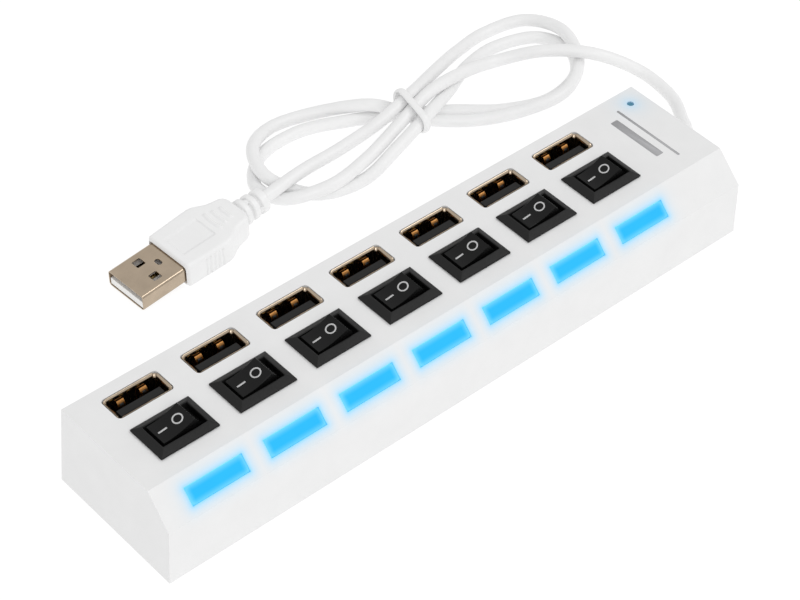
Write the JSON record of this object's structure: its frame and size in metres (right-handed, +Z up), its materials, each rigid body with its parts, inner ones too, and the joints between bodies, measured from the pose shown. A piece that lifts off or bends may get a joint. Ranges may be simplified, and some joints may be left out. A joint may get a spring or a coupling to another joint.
{
  "type": "usb hub",
  "caption": "Long chamfered hub with a row of upright USB-A ports, each with its own rocker switch and lit window, on a tied cord with a USB-A plug.",
  "frame": {"origin": "on the table under the middle of the hub's body, at the underside of its feet", "axes": "+X along the row of ports towards the cord, +Z up through the ports, -Y towards the side with the lit windows"},
  "size_m": [0.1919, 0.0963, 0.0251],
  "materials": {
    "white_plastic": "fine moulded texture",
    "cord_white": "smooth soft PVC",
    "plug_white": "smooth",
    "bezel_black": "textured",
    "rocker_black": "satin",
    "tongue_black": "satin",
    "chip_black": "moulded",
    "nickel": "warm nickel plating",
    "steel": "plain",
    "circuit_green": "solder mask",
    "lit_blue": "translucent, lit from behind",
    "clear_epoxy": "clear",
    "rubber": "matte"
  },
  "bodies": {
    "housing": {"top_shell": "white_plastic", "bottom_cover": "white_plastic", "circuit_board": "circuit_green", "controller_chip": "chip_black", "crystal": "steel", "status_led": "lit_blue", "cord_gland": "cord_white", "cord": "cord_white", "cord_tie": "cord_white", "plug_grip": "cord_white", "plug_shell": "nickel", "plug_core": "plug_white", "port_shell_1": "nickel", "port_tongue_1": "tongue_black", "switch_frame_1": "bezel_black", "light_window_1": "lit_blue", "led_1": "clear_epoxy", "port_shell_2": "nickel", "port_tongue_2": "tongue_black", "switch_frame_2": "bezel_black", "light_window_2": "lit_blue", "led_2": "clear_epoxy", "port_shell_3": "nickel", "port_tongue_3": "tongue_black", "switch_frame_3": "bezel_black", "light_window_3": "lit_blue", "led_3": "clear_epoxy", "port_shell_4": "nickel", "port_tongue_4": "tongue_black", "switch_frame_4": "bezel_black", "light_window_4": "lit_blue", "led_4": "clear_epoxy", "port_shell_5": "nickel", "port_tongue_5": "tongue_black", "switch_frame_5": "bezel_black", "light_window_5": "lit_blue", "led_5": "clear_epoxy", "port_shell_6": "nickel", "port_tongue_6": "tongue_black", "switch_frame_6": "bezel_black", "light_window_6": "lit_blue", "led_6": "clear_epoxy", "port_shell_7": "nickel", "port_tongue_7": "tongue_black", "switch_frame_7": "bezel_black", "light_window_7": "lit_blue", "led_7": "clear_epoxy", "foot_1": "rubber", "foot_2": "rubber", "foot_3": "rubber", "foot_4": "rubber", "screw_1": "steel", "screw_2": "steel"},
    "rocker_1": {"switch_rocker_1": "rocker_black"},
    "rocker_2": {"switch_rocker_2": "rocker_black"},
    "rocker_3": {"switch_rocker_3": "rocker_black"},
    "rocker_4": {"switch_rocker_4": "rocker_black"},
    "rocker_5": {"switch_rocker_5": "rocker_black"},
    "rocker_6": {"switch_rocker_6": "rocker_black"},
    "rocker_7": {"switch_rocker_7": "rocker_black"}
  },
  "joints": [
    {"name": "rocker_1", "type": "hinge", "parent": "housing", "child": "rocker_1", "pos_m": [-0.0682, -0.0011, 0.0197], "axis": [0, 1, 0], "range_deg": [0, 30]},
    {"name": "rocker_2", "type": "hinge", "parent": "housing", "child": "rocker_2", "pos_m": [-0.0479, -0.0011, 0.0197], "axis": [0, 1, 0], "range_deg": [0, 30]},
    {"name": "rocker_3", "type": "hinge", "parent": "housing", "child": "rocker_3", "pos_m": [-0.0276, -0.0011, 0.0197], "axis": [0, 1, 0], "range_deg": [0, 30]},
    {"name": "rocker_4", "type": "hinge", "parent": "housing", "child": "rocker_4", "pos_m": [-0.0073, -0.0011, 0.0197], "axis": [0, 1, 0], "range_deg": [0, 30]},
    {"name": "rocker_5", "type": "hinge", "parent": "housing", "child": "rocker_5", "pos_m": [0.013, -0.0011, 0.0197], "axis": [0, 1, 0], "range_deg": [0, 30]},
    {"name": "rocker_6", "type": "hinge", "parent": "housing", "child": "rocker_6", "pos_m": [0.0333, -0.0011, 0.0197], "axis": [0, 1, 0], "range_deg": [0, 30]},
    {"name": "rocker_7", "type": "hinge", "parent": "housing", "child": "rocker_7", "pos_m": [0.0536, -0.0011, 0.0197], "axis": [0, 1, 0], "range_deg": [0, 30]}
  ]
}
